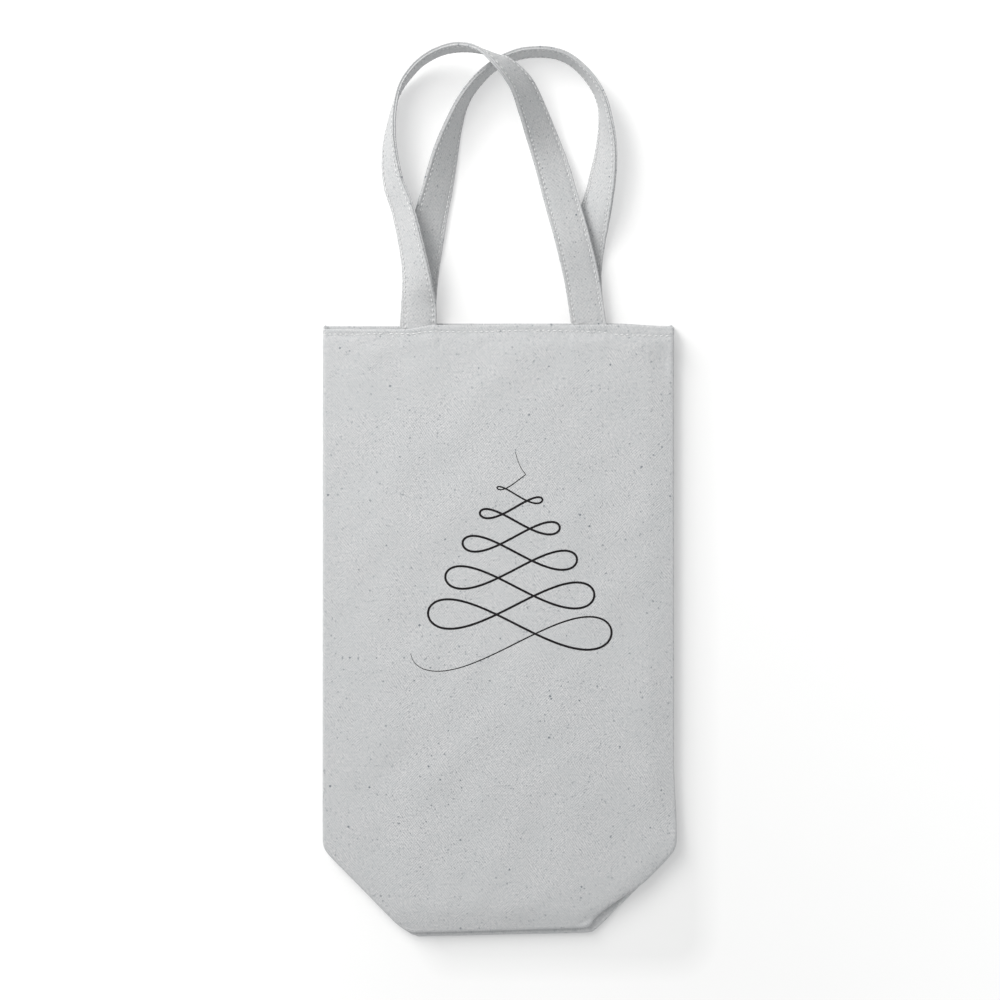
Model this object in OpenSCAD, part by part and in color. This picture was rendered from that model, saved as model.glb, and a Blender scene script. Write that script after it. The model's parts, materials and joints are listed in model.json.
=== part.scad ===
// Flat-folded canvas bottle bag: two cloth faces, a bellows base, turned hems and two strap handles.
// It lies on its back: +Z is up out of the front face, +Y points to the handles, the origin is
// under the middle of the whole outline.

/* [Bag] */
// Width of the bag lying flat
flat_w = 175; // [160:1:185]
// Height of the bag lying flat, from the base fold to the mouth
flat_h = 304; // [300:1:306]
// Depth of each 45 degree corner, half the depth of the opened base
gusset = 43.75; // [40:0.25:46]
// Thickness of the bag lying flat
bag_t = 8; // [7.8:0.1:8.4]
// Thickness of the canvas
cloth_t = 0.7; // [0.6:0.05:0.8]
// Width that each side fold takes from the face at the mouth
side_fold = 31.5; // [28:0.5:32]

/* [Handles] */
// Width of a strap
strap_w = 17.5; // [16:0.5:18]
// Thickness of a strap, four layers of canvas
strap_t = 1.6; // [1.4:0.1:1.7]
// Height of the loops above the mouth
loop_h = 137; // [136:1:138]
// Middle of the left strap legs
left_leg_x = -39.5; // [-41:0.5:-38]
// Middle of the right strap legs
right_leg_x = 45; // [44:0.5:46]

/* [Hems and seams] */
// Depth of the turned hem at the mouth
hem_d = 12; // [8:1:16]
// Length of strap sewn inside the hem
strap_tuck = 10; // [6:1:12]
// Distance from the mouth edge to the hem stitching
stitch_inset = 2.9; // [2.5:0.1:4]
// Distance from one stitch to the next
stitch_pitch = 3.7; // [3:0.1:5]
// Length of one visible stitch
stitch_len = 2.3; // [1.5:0.1:2.6]
// Distance from a strap edge to its topstitching
strap_stitch_inset = 1.9; // [1.5:0.1:3]
// Width of a seam allowance
allowance = 7; // [5:0.5:8]

/* [Print] */
// Height of the printed tree, from its first loop to its last
print_h = 88; // [70:1:100]
// Width of the printed tree at its lowest loops
print_w = 104; // [80:1:110]
// Width of the printed line
line_w = 1; // [0.8:0.1:1.6]

/* [Hidden] */
canvas = [0.79, 0.80, 0.80];
thread = [0.90, 0.90, 0.89];
ink = [0.10, 0.10, 0.11];

half_w = flat_w / 2;
half_len = (flat_h + loop_h) / 2;
bottom_y = -half_len;
crease_y = bottom_y + gusset;
top_y = bottom_y + flat_h;
front_z = bag_t - cloth_t;
mid_z = bag_t / 2;
fold_top_x = half_w - side_fold;
crease_angle = atan(side_fold / (top_y - crease_y));

crease_gap = 0.3;      // each side of a side-fold line
facing_gap = 1.2;      // the same for the thicker hem facings
seam_gap = 0.3;        // from the middle plane to each half of a side wall
side_start = 8;        // where the narrow tip of a side fold begins above the corner
strap_gap = 0.6;       // from a sewn strap end to the free strap
strap_stub = 1;        // how far a sewn strap end stands out of the mouth
stitch_w = 0.5;
stitch_t = 0.2;
seam_t = 2 * cloth_t;
bellows_rise = mid_z - 2 * cloth_t;
bellows_angle = atan(bellows_rise / gusset);
reach = 2 * flat_h;    // longer than anything it cuts

// Strap routes, left leg to right leg: x, y above the mouth, lift of the lower edge, tilt.
// Tilt 0 lies flat and 90 stands on edge.
strap_y0 = strap_stub + strap_gap;
front_strap_z = front_z - cloth_t - strap_t;
back_strap_z = 2 * cloth_t;
front_route = [
    [left_leg_x, strap_y0, front_strap_z, 0], [-39.5, 11, 4.9, 10], [-40.4, 23, 4.9, 36],
    [-42.6, 37, 4.3, 48], [-47.2, 57, 2.8, 53], [-51.9, 72, 1.2, 58], [-53.5, 87, 0.5, 68],
    [-52.8, 101, 0.5, 80], [-49.6, 115.5, 1, 88], [-44.4, 124.4, 2.5, 90], [-37.3, 131, 5, 90],
    [-27.6, 135.3, 8.5, 90], [-16.5, loop_h - 0.9, 13, 90], [-6.5, 133.2, 17, 80],
    [3, 127.5, 19.5, 64], [12, 118, 15.6, 52], [16.6, 107, 9.5, 40], [21.9, 93, 3.8, 29],
    [26.5, 80, 1.6, 19], [31.5, 62, 2.5, 11], [37, 42, 5.8, 7], [41.5, 23, 5.4, 3],
    [right_leg_x, strap_y0, front_strap_z, 0]];
back_route = [
    [left_leg_x, strap_y0, back_strap_z, 0], [-38.7, 23, 0.5, 4], [-36.8, 38, 0.3, 10],
    [-33.2, 57, 0.3, 26], [-30.2, 69, 0.3, 36], [-26.6, 85, 0.3, 49], [-22.6, 99, 0.3, 65],
    [-17.4, 112, 0.3, 80], [-10, 122, 0.3, 86], [0, 130, 0.3, 86], [12.2, 134.7, 0.3, 88],
    [26.9, 134.4, 0.3, 90], [38, 129.2, 0.3, 90], [46.5, 120.2, 0.3, 88], [51.6, 110.5, 0.3, 83],
    [53.2, 101, 0.3, 73], [53.6, 89, 0.3, 60], [52, 75, 0.3, 47], [49.7, 63, 0.3, 39],
    [44.6, 42, 0.3, 16], [42.8, 23, 0.5, 5], [right_leg_x, strap_y0, back_strap_z, 0]];
route_steps = 3;       // rings between two route points
front_face = -1;       // the front strap stands with its inner edge up
back_face = 1;         // the back strap stands with its outer edge up

// ---- Outlines ----

// Everything to the right of the right-hand side-fold line, moved outwards by d
module beyond_fold(d) {
    translate([half_w, crease_y])
        rotate(crease_angle)
            translate([d, -reach / 2])
                square([reach, reach]);
}

// A band across the bag from y0 to y1
module band(y0, y1) {
    translate([-half_w, y0])
        square([flat_w, y1 - y0]);
}

// The same band between the two side-fold lines, each moved inwards by d
module middle_band(y0, y1, d) {
    difference() {
        band(y0, y1);
        beyond_fold(-d);
        mirror([1, 0])
            beyond_fold(-d);
    }
}

// The part of a band outside the right-hand side-fold line
module side_band(y0, y1, d) {
    intersection() {
        band(y0, y1);
        beyond_fold(d);
    }
}

// The foot of a face, between the two 45 degree corners
module foot_outline() {
    polygon([[-gusset, bottom_y], [gusset, bottom_y], [half_w, crease_y], [-half_w, crease_y]]);
}

// Places its children on the chosen side: 1 right, -1 left
module on_side(side) {
    if (side > 0)
        children();
    else
        mirror([1, 0, 0])
            children();
}

// Turns a front piece, drawn as a back piece, over into the front half of the bag
module on_front() {
    translate([0, 0, bag_t])
        mirror([0, 0, 1])
            children();
}

// ---- Base, drawn for the back half ----

// A flat slab that rises from the base fold to the seam inside
module bellows(z0, t) {
    translate([0, bottom_y, z0])
        rotate([bellows_angle, 0, 0])
            translate([0, -bottom_y, 0])
                linear_extrude(t)
                    children();
}

module base_half() {
    color(canvas)
        bellows(cloth_t, cloth_t)
            translate([-gusset, bottom_y])
                square([2 * gusset, gusset]);
}

module corner_gussets() {
    color(canvas)
        bellows(cloth_t, cloth_t)
            for (side = [-1, 1])
                polygon([[side * gusset, bottom_y], [side * half_w, crease_y],
                    [side * gusset, crease_y]]);
}

// Allowances of the corner seams, pressed flat inside the bag
module corner_seams() {
    seam_w = 4;
    seam_start = 24;
    color(thread)
        translate([0, 0, -cloth_t])
            bellows(0, cloth_t)
                for (side = [-1, 1])
                    translate([side * gusset - seam_w / 2, bottom_y + seam_start])
                        square([seam_w, gusset - seam_start]);
}

module base_seam() {
    color(thread)
        translate([-gusset, crease_y, mid_z - seam_t / 2])
            cube([2 * gusset, allowance, seam_t]);
}

// ---- Faces ----

module back_panel() {
    color(canvas)
        linear_extrude(cloth_t) {
            middle_band(crease_y, top_y, crease_gap);
            foot_outline();
        }
}

module front_foot_panel() {
    color(canvas)
        translate([0, 0, front_z])
            linear_extrude(cloth_t)
                difference() {
                    foot_outline();
                    band(crease_y - crease_gap, crease_y);
                }
}

module front_panel() {
    color(canvas)
        translate([0, 0, front_z])
            linear_extrude(cloth_t)
                middle_band(crease_y + crease_gap, top_y, crease_gap);
}

// A side fold on the right of the back: its share of the face
module side_panel() {
    color(canvas)
        linear_extrude(cloth_t)
            side_band(crease_y + side_start, top_y, crease_gap);
}

// The same cloth turned up as half of the side wall, as far as the side seam
module side_wall() {
    side_y = crease_y + side_start;
    color(canvas)
        translate([half_w - cloth_t, side_y, cloth_t])
            cube([cloth_t, top_y - side_y, mid_z - seam_gap - cloth_t]);
}

// ---- Hems ----

module hem() {
    color(canvas)
        translate([0, 0, cloth_t])
            linear_extrude(cloth_t)
                middle_band(top_y - hem_d, top_y, facing_gap);
}

module side_hem() {
    color(canvas)
        translate([0, 0, cloth_t])
            linear_extrude(cloth_t)
                difference() {
                    side_band(top_y - hem_d, top_y, facing_gap);
                    translate([half_w - cloth_t, bottom_y])
                        square([cloth_t, flat_h]);
                }
}

// True where a stitch that starts at x meets the strap leg at leg_x
function on_leg(x, leg_x) = abs(x + stitch_len / 2 - leg_x) < (strap_w + stitch_len) / 2 + 0.1;

// Stitches from x0 to x1 along the mouth, at height z, or over_strap higher where a strap is sewn in
module stitches(x0, x1, z, over_strap = 0) {
    count = floor((x1 - x0 - stitch_len) / stitch_pitch);
    start = (x0 + x1 - count * stitch_pitch - stitch_len) / 2;
    color(thread)
        for (i = [0:count]) {
            x = start + i * stitch_pitch;
            raised = on_leg(x, left_leg_x) || on_leg(x, right_leg_x);
            translate([x, top_y - stitch_inset - stitch_w / 2, z + (raised ? over_strap : 0)])
                cube([stitch_len, stitch_w, stitch_t]);
        }
}

module middle_stitches(z, over_strap = 0) {
    reach_x = fold_top_x - facing_gap;
    stitches(-reach_x, reach_x, z, over_strap);
}

module side_stitches(z) {
    stitches(fold_top_x + 2 * facing_gap, half_w - 2 * cloth_t, z);
}

// Overlocked allowance of a side seam, lying against the back inside the bag
module side_seam() {
    seam_x = half_w - cloth_t - allowance;
    seam_y = crease_y + 3 * gusset / 2;
    color(thread)
        translate([seam_x, seam_y, cloth_t])
            cube([allowance, top_y - hem_d - seam_y, seam_t]);
}

// ---- Printed tree: one line that swings from side to side and loops at each turn ----

tree_swings = 5.75;
tree_steps = 276;
tree_x = 8.5;          // middle of the tree
tree_y = 9;            // height of its first loops
tree_loops = 0.22;     // height of a loop for its width
tree_tip = 12;         // the line starts this far above the first loops
function tree_half(u) = print_w / 2 * (0.05 + 0.95 * u);
function tree_point(u) = let (a = 360 * tree_swings * u) [
    tree_x + tree_half(u) * sin(a),
    tree_y - print_h * pow(max(0, u), 1.3) - tree_loops * tree_half(u) * sin(2 * a)
        + tree_tip * exp(-u / 0.03)];
function tree_taper(u) = min(1, 0.22 + 3 * u, 0.22 + 9 * (1 - u));
function tree_edge(i, side) = let (
    u = i / tree_steps,
    way = tree_point(u + 0.0005) - tree_point(u - 0.0005),
    across = [-way[1], way[0]] / norm(way))
    tree_point(u) + side * line_w / 2 * tree_taper(u) * across;
module tree_print() {
    color(ink)
        translate([0, 0, bag_t])
            linear_extrude(stitch_t)
                for (i = [0:tree_steps - 1])
                    polygon([tree_edge(i, -1), tree_edge(i + 1, -1), tree_edge(i + 1, 1),
                        tree_edge(i, 1)]);
}

// ---- Straps ----

function curve(a, b, c, d, t) = 0.5 * (2 * b + (c - a) * t + (2 * a - 5 * b + 4 * c - d) * t * t
    + (3 * b - a - 3 * c + d) * t * t * t);
function smooth_route(p) = let (last = len(p) - 1) concat(
    [for (i = [0:last - 1], k = [0:route_steps - 1])
        curve(p[max(i - 1, 0)], p[i], p[i + 1], p[min(i + 2, last)], k / route_steps)],
    [p[last]]);
function unit(v) = v / norm(v);
function strap_centre(p) = [p[0], top_y + p[1],
    p[2] + strap_w / 2 * sin(p[3]) + strap_t / 2 * cos(p[3])];

// One ring of a bar that follows the strap: its middle is at (across, out) in the strap's own
// section and its size is w by t
function ring(p, i, face, across, out, w, t) = let (
    last = len(p) - 1,
    along = (i == 0 || i == last) ? [0, i == 0 ? 1 : -1, 0]
        : unit(strap_centre(p[i + 1]) - strap_centre(p[i - 1])),
    outward = unit(cross([0, 0, 1], along)),
    rise = cross(along, outward),
    wide = face * cos(p[i][3]) * outward + sin(p[i][3]) * rise,
    thick = -face * sin(p[i][3]) * outward + cos(p[i][3]) * rise)
    [for (corner = [[-1, -1], [1, -1], [1, 1], [-1, 1]]) strap_centre(p[i])
        + (across + corner[0] * w / 2) * wide + (out + corner[1] * t / 2) * thick];

module strap_bar(route, face, across, out, w, t) {
    p = smooth_route(route);
    last = len(p) - 1;
    points = [for (i = [0:last]) each ring(p, i, face, across, out, w, t)];
    walls = [for (i = [0:last - 1], k = [0:3]) let (a = 4 * i + k, b = 4 * i + (k + 1) % 4)
        each [[a, b, a + 4], [b, b + 4, a + 4]]];
    ends = [[3, 2, 1, 0], [for (k = [0:3]) 4 * last + k]];
    faces = concat(walls, ends);
    turned = face < 0 ? faces : [for (f = faces) [for (k = [len(f) - 1:-1:0]) f[k]]];
    polyhedron(points, turned, convexity = 6);
}

module strap(route, face) {
    color(canvas)
        strap_bar(route, face, 0, 0, strap_w, strap_t);
}

module strap_topstitch(route, face) {
    line = strap_w / 2 - strap_stitch_inset;
    sunk = 0.04;
    color(thread)
        for (side = [-1, 1])
            strap_bar(route, face, side * line, (strap_t + stitch_t) / 2 - sunk, stitch_w, stitch_t);
}

// The two ends of a strap, sewn inside the hem at height z
module strap_ends(z) {
    color(canvas)
        for (x = [left_leg_x, right_leg_x])
            translate([x - strap_w / 2, top_y - strap_tuck, z])
                cube([strap_w, strap_tuck + strap_stub, strap_t]);
}

// ---- Nodes ----

back_panel();
front_foot_panel();
on_front() base_half();  // base_front_half
base_half();  // base_back_half
on_front() corner_gussets();  // front_corner_gussets
corner_gussets();  // back_corner_gussets
base_seam();
on_front() corner_seams();  // front_corner_seams
corner_seams();  // back_corner_seams
hem();  // back_hem
middle_stitches(2 * cloth_t, strap_t);  // back_hem_stitching
strap_ends(back_strap_z);  // back_handle_ends
front_panel();
on_front() hem();  // front_hem
middle_stitches(bag_t);  // front_hem_stitching
strap_ends(front_strap_z);  // front_handle_ends
tree_print();
on_side(-1) side_panel();  // back_left_side_panel
on_side(1) side_panel();  // back_right_side_panel
on_side(-1) on_front() side_panel();  // front_left_side_panel
on_side(1) on_front() side_panel();  // front_right_side_panel
on_side(-1) side_wall();  // back_left_side_wall
on_side(1) side_wall();  // back_right_side_wall
on_side(-1) on_front() side_wall();  // front_left_side_wall
on_side(1) on_front() side_wall();  // front_right_side_wall
on_side(-1) side_hem();  // back_left_side_hem
on_side(1) side_hem();  // back_right_side_hem
on_side(-1) on_front() side_hem();  // front_left_side_hem
on_side(1) on_front() side_hem();  // front_right_side_hem
on_side(-1) side_stitches(2 * cloth_t);  // back_left_hem_stitching
on_side(1) side_stitches(2 * cloth_t);  // back_right_hem_stitching
on_side(-1) side_stitches(bag_t);  // front_left_hem_stitching
on_side(1) side_stitches(bag_t);  // front_right_hem_stitching
on_side(-1) side_seam();  // left_side_seam
on_side(1) side_seam();  // right_side_seam
strap(front_route, front_face);  // front_handle
strap_topstitch(front_route, front_face);  // front_handle_topstitch
strap(back_route, back_face);  // back_handle
strap_topstitch(back_route, back_face);  // back_handle_topstitch
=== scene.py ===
import json
import math

import bpy
import numpy as np
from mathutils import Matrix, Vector, noise
from mathutils.bvhtree import BVHTree


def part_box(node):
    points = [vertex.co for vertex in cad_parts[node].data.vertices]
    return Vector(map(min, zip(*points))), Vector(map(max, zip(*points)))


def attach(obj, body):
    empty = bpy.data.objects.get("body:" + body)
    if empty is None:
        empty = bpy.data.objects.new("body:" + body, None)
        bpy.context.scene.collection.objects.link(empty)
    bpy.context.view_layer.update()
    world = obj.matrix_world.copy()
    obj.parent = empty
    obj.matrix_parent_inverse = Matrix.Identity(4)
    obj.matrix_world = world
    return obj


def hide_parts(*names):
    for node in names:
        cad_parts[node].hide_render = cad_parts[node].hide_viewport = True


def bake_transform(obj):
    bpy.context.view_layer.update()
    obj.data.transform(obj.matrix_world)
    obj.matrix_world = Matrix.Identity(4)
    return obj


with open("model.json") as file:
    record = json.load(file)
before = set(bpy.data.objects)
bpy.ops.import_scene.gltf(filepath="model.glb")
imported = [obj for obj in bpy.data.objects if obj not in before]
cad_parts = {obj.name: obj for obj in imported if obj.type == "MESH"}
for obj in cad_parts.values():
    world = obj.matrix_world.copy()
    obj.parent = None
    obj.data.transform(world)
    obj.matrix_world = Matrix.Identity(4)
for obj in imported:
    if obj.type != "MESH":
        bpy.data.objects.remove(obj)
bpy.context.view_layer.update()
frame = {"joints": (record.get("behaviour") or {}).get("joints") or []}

# Shapes are worked out in millimetres; make_mesh() turns them into metres.
MM = 0.001


def box_mm(node):
    """Lowest and highest corner of a node, in millimetres."""
    return [[c / MM for c in corner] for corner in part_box(node)]


def low(node, axis):
    return box_mm(node)[0][axis]


def high(node, axis):
    return box_mm(node)[1][axis]


# ---- Sizes taken from the frame ----

HALF_W = high("back_panel", 0)
BOTTOM = low("back_panel", 1)
TOP = high("back_panel", 1)
CREASE = high("base_back_half", 1)
BAG_T = high("front_panel", 2)
CLOTH = high("back_panel", 2)
GUSSET = high("base_back_half", 0)
FRONT_STRAP_Z = low("front_handle_ends", 2)
BACK_STRAP_Z = low("back_handle_ends", 2)
STRAP_T = high("back_handle_ends", 2) - BACK_STRAP_Z
STRAP_TUCK = TOP - low("back_handle_ends", 1)
HEM_DEPTH = TOP - low("back_hem", 1)
STITCH_INSET = TOP - (low("back_hem_stitching", 1) + high("back_hem_stitching", 1)) / 2
HINGE = {j["name"]: j for j in frame["joints"]}
FOLD_TOP = 56.0          # where the side-fold line meets the mouth
FRONT_MID = BAG_T - CLOTH / 2

# ---- Sizes of the cloth ----

CANVAS_T = 0.62          # thickness of the visible canvas
SIDE_R = 1.0             # radius where a face turns down its side
SIDE_WALL = FRONT_MID - BAG_T / 2 - SIDE_R   # straight part of a side, down to the side seam
BASE_R = 1.3             # radius of the folds round the foot
FLAT = HALF_W - SIDE_R - CLOTH / 2
ARC = SIDE_R * math.pi / 2 + SIDE_WALL
SEAM = FLAT + ARC        # cloth distance from the middle to the side seam
LIP = 2.2                # how far each side laps past the seam, the back inside the front
FOOT_RUN = 4.2           # cloth that runs back inwards past the folds of the foot
BASE_INSET = 6.2         # the folded base stops this far inside the bag's outline
FRONT_RISE = 2.7         # the front fold ends this far above the back fold
FOOT_BEND = 1.6          # how softly each side turns into its 45 degree corner
BULGE = 1.4              # the right side swells by this much towards its lower end
TUCK = 6.6               # the front's lower right corner is drawn in by this much
TUCK_END = 2.5           # and comes out again by this much at the bottom
CROWN = 0.9              # the middle of the front stands this much higher than its sides
ROLL = 1.7               # the front's right edge rolls down by this much
FOOT_LEAN = 1.0          # the bottom runs up to the right by this much on each side of the middle
HEM_GAP = 0.78           # distance between the two layers of the hem
STRAP_W = 17.5
STITCH_PITCH = 2.8
STITCH_LEN = 1.6
THREAD_R = 0.31
STRAP_LINE = STRAP_W / 2 - 1.9
STRAP_STITCH = 1.4       # the strap thread shows as short stitches in small dimples
STRAP_STITCH_PITCH = 2.6
STRAP_STEPS = 20         # sections of the strap mesh for each point of its route
STRAP_THREAD_R = 0.24
STRAP_SWELL = 0.3        # share by which a strap is thicker between its sewn ends
SWELL_START = 16         # the swelling starts this far from each end of a strap
SWELL_RUN = 25           # and is complete after this much more
SQUARENESS = 3.2         # power of the curve of a strap's folded edges: 2 would be round
SEAM_PITCH = 0.9         # spacing of the overlock threads along the inside seams

# Strap routes, left leg to right leg: x, y above the mouth, lift of the lower edge, tilt in degrees
STRAP_START = 1.6
LEFT_LEG = -39.5
RIGHT_LEG = 45.0
LOOP_TOP = 136.1
FRONT_ROUTE = [
    (LEFT_LEG, STRAP_START, FRONT_STRAP_Z - 0.3, 0), (-39.5, 11, 4.8, 10), (-40.4, 23, 4.9, 36),
    (-42.6, 37, 4.3, 48), (-47.2, 57, 2.8, 53), (-52.3, 72, 1.2, 58), (-54.1, 87, 0.5, 67),
    (-53.2, 101, 0.5, 78), (-49.8, 115.5, 1, 87), (-44.4, 124.4, 2.5, 90), (-37.3, 131, 5, 90),
    (-27.6, 135.3, 8.5, 90), (-16.5, LOOP_TOP, 13, 90), (-6.5, 133.2, 17, 80),
    (2, 127.3, 19.3, 60), (10.9, 118, 15.4, 45), (16.4, 107, 9.8, 38), (21.9, 93, 5.2, 28),
    (26.5, 80, 5.0, 18), (31.5, 62, 7.0, 10), (37, 42, 8.5, 7), (41.5, 23, 6.6, 3),
    (RIGHT_LEG, STRAP_START, FRONT_STRAP_Z - 0.3, 0)]
BACK_ROUTE = [
    (LEFT_LEG - 0.9, STRAP_START, BACK_STRAP_Z + 0.2, 0), (-38.9, 23, 0.5, 4),
    (-36.8, 38, 0.3, 10), (-33.2, 57, 0.3, 26), (-30.2, 69, 0.3, 36), (-26.6, 85, 0.3, 49),
    (-22.6, 99, 0.3, 65), (-17.4, 112, 0.3, 78), (-10, 122.4, 0.3, 83), (0, 130.8, 0.3, 86),
    (12.2, 135.6, 0.3, 86.5), (26.9, 135.7, 0.3, 87), (38, 130.7, 0.3, 87),
    (46.8, 121.2, 0.3, 85), (51.8, 110.8, 0.3, 81), (53.2, 101, 0.3, 73), (53.6, 89, 0.3, 60),
    (52, 75, 0.3, 47), (49.7, 63, 0.3, 37), (44.6, 42, 0.3, 9), (42.8, 23, 0.4, 3),
    (RIGHT_LEG, STRAP_START, BACK_STRAP_Z + 0.2, 0)]


def smooth(t):
    t = min(1.0, max(0.0, t))
    return t * t * (3 - 2 * t)


# ---- Mesh helpers ----


def make_mesh(name, points, faces, uvs=None, material=None, sharp=55):
    """A shaded mesh from millimetre points. uvs holds one (u, v) in millimetres for each point."""
    mesh = bpy.data.meshes.new(name)
    mesh.from_pydata([tuple(c * MM for c in p) for p in points], [], faces)
    if uvs is not None:
        layer = mesh.uv_layers.new(name="cloth")
        index = np.zeros(len(mesh.loops), np.int32)
        mesh.loops.foreach_get("vertex_index", index)
        layer.data.foreach_set("uv", (np.array(uvs, float)[index] * MM).astype(np.float32).ravel())
    mesh.polygons.foreach_set("use_smooth", [True] * len(mesh.polygons))
    mesh.set_sharp_from_angle(angle=math.radians(sharp))
    piece = bpy.data.objects.new(name, mesh)
    bpy.context.scene.collection.objects.link(piece)
    if material is not None:
        mesh.materials.append(material)
    return piece


def thicken(piece, thickness, sharp=55):
    """Gives a sheet its cloth thickness, half to each side."""
    solid = piece.modifiers.new("thickness", "SOLIDIFY")
    solid.thickness = thickness * MM
    solid.offset = 0
    solid.use_even_offset = False
    bpy.context.view_layer.update()
    graph = bpy.context.evaluated_depsgraph_get()
    mesh = bpy.data.meshes.new_from_object(piece.evaluated_get(graph), depsgraph=graph)
    piece.modifiers.clear()
    piece.data = mesh
    mesh.polygons.foreach_set("use_smooth", [True] * len(mesh.polygons))
    mesh.set_sharp_from_angle(angle=math.radians(sharp))
    return piece


def lattice_faces(rows, cols, start=0, flip=False):
    quads = []
    for j in range(rows - 1):
        for i in range(cols - 1):
            a = start + j * cols + i
            quad = (a, a + 1, a + cols + 1, a + cols)
            quads.append(quad[::-1] if flip else quad)
    return quads


# ---- Shape of the two cloth faces ----

# For each layer: how far the foot reaches left and right, and where its fold lies
FOOT = {"front": (46.2, 50.0), "back": (43.4, 47.4)}
FOLD_Y = {"front": BOTTOM + FRONT_RISE, "back": BOTTOM}


def edge_x(side, v, layer):
    """Half width of the bag's outline at height v on one side."""
    bulge = BULGE * smooth((CREASE + 45 - v) / 38) if side > 0 else 0.0
    edge = HALF_W + bulge
    foot = FOOT[layer][0 if side < 0 else 1]
    slope = (edge - foot) / (CREASE - FOLD_Y[layer])
    below = (CREASE - v) * slope
    if below < 12:
        below = FOOT_BEND * math.log1p(math.exp(below / FOOT_BEND))
    edge -= below
    if layer == "front" and side > 0 and v < CREASE:
        along = (CREASE - v) / (CREASE - FOLD_Y[layer])
        edge -= TUCK * smooth((along - 0.33) / 0.5) - TUCK_END * smooth((along - 0.83) / 0.17)
    return edge


def face_low(layer):
    return FOLD_Y[layer] + BASE_R + CLOTH / 2


def drop(x, v, layer):
    """How far the front sinks towards the folds round its foot."""
    if layer == "back":
        return 0.0
    near_bottom = max(0.0, 1 - (v - face_low(layer)) / 10) ** 1.7
    chamfer = (edge_x(1 if x > 0 else -1, v, layer) - abs(x)) / 1.414
    near_corner = max(0.0, 1 - max(0.0, chamfer - 1) / 8) ** 1.7
    lower = smooth((CREASE + 10 - v) / 20)
    return -min(1.7, 1.5 * near_bottom + (1.25 if x > 0 else 0.75) * near_corner * lower)


def stitch_line(u, layer):
    """Height of the hem stitching; on the front it wanders down at the right."""
    if layer == "back":
        return TOP - STITCH_INSET
    return (TOP - STITCH_INSET + 0.4 + 0.75 * smooth((-33 - u) / 16) - 1.7 * smooth((u - 46) / 14)
            + 0.2 * math.sin(u / 11))


def relief(u, v, layer):
    """Soft waves of the lying cloth, fading out at the folds and the hem."""
    seed = 3.0 if layer == "front" else 11.0
    big = noise.noise(Vector((u / 62, v / 78, seed)))
    mid = noise.noise(Vector(((u + v) / 44, (v - u) / 24, seed + 4)))
    small = noise.noise(Vector((u / 13, v / 13, seed + 9)))
    calm = smooth((FLAT - abs(u)) / 12) * smooth((TOP - 2 - v) / 12) * smooth((v - BOTTOM - 3) / 16)
    crown = CROWN * (1 - (u / FLAT) ** 2)
    roll = ROLL * max(0.0, 1 - (HALF_W - u) / 15) ** 1.8 * smooth((TOP - 6 - v) / 14)
    roll *= smooth((v - CREASE) / 20)
    wave = 0.75 * big + 0.55 * mid + 0.12 * small
    if layer == "back":
        return -(0.35 + wave * 0.35) * calm
    dent = -0.9 * math.exp(-((u - 80) / 7) ** 2 - ((v - 66) / 8) ** 2)
    dent -= 0.5 * math.exp(-((u - 52) / 7) ** 2 - ((v - (TOP - 3.5)) / 2.6) ** 2)
    return (crown + wave) * calm + dent * smooth((FLAT - abs(u)) / 3) - roll


def hem_pucker(u, v, layer):
    """The cloth is drawn down along the hem stitching, most at the stitch ends."""
    away = v - stitch_line(u, layer)
    line = math.exp(-(away / (0.75 if away > 0 else 2.4)) ** 2)
    wide = 1 - smooth(-away / 9) if away < 0 else 1.0
    pull = 0.30 + 0.10 * math.cos(2 * math.pi * u / STITCH_PITCH)
    pull += 0.10 * noise.noise(Vector((u / 7, 2.0, 5.0)))
    soft = 0.25 * noise.noise(Vector((u / 9, v / 5, 17.0))) * smooth((v - (TOP - 16)) / 10)
    over_strap = 0.0
    for leg in (LEFT_LEG, RIGHT_LEG):
        bump = smooth((STRAP_W / 2 + 1.2 - abs(u - leg)) / 2.2)
        over_strap += 0.35 * bump * smooth((v - (TOP - STRAP_TUCK - 1.5)) / 3)
    if layer == "back":
        over_strap = 0.0
    return -pull * line * wide + soft * smooth((FLAT - abs(u)) / 4) + over_strap


def top_shift(u, layer):
    """How far the mouth edge runs above or below its mean height."""
    if layer == "front":
        return (-2.1 * smooth((-31 - u) / 15) + 0.25 * smooth((u + 12) / 40)
                - 0.95 * smooth((u - 54) / 30) + 0.12 * math.sin(u / 8))
    return 1.25 * smooth((u + 46) / 12) * smooth((84 - u) / 26)


def fold_shape(v, layer):
    """The fold at the edge of the cloth at height v: radius, angle, straight part and direction."""
    foot = smooth((CREASE + 7 - v) / 12)
    radius = SIDE_R + (BASE_R - SIDE_R) * foot
    angle = math.pi / 2 * (1 + foot)
    main = math.radians(45) * smooth((CREASE + 3.5 - v) / 7)
    corner = math.radians(22.5) * (1 - smooth((v - face_low(layer)) / 2.4))
    return radius, angle, SIDE_WALL * (1 - foot), main, main + corner


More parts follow.
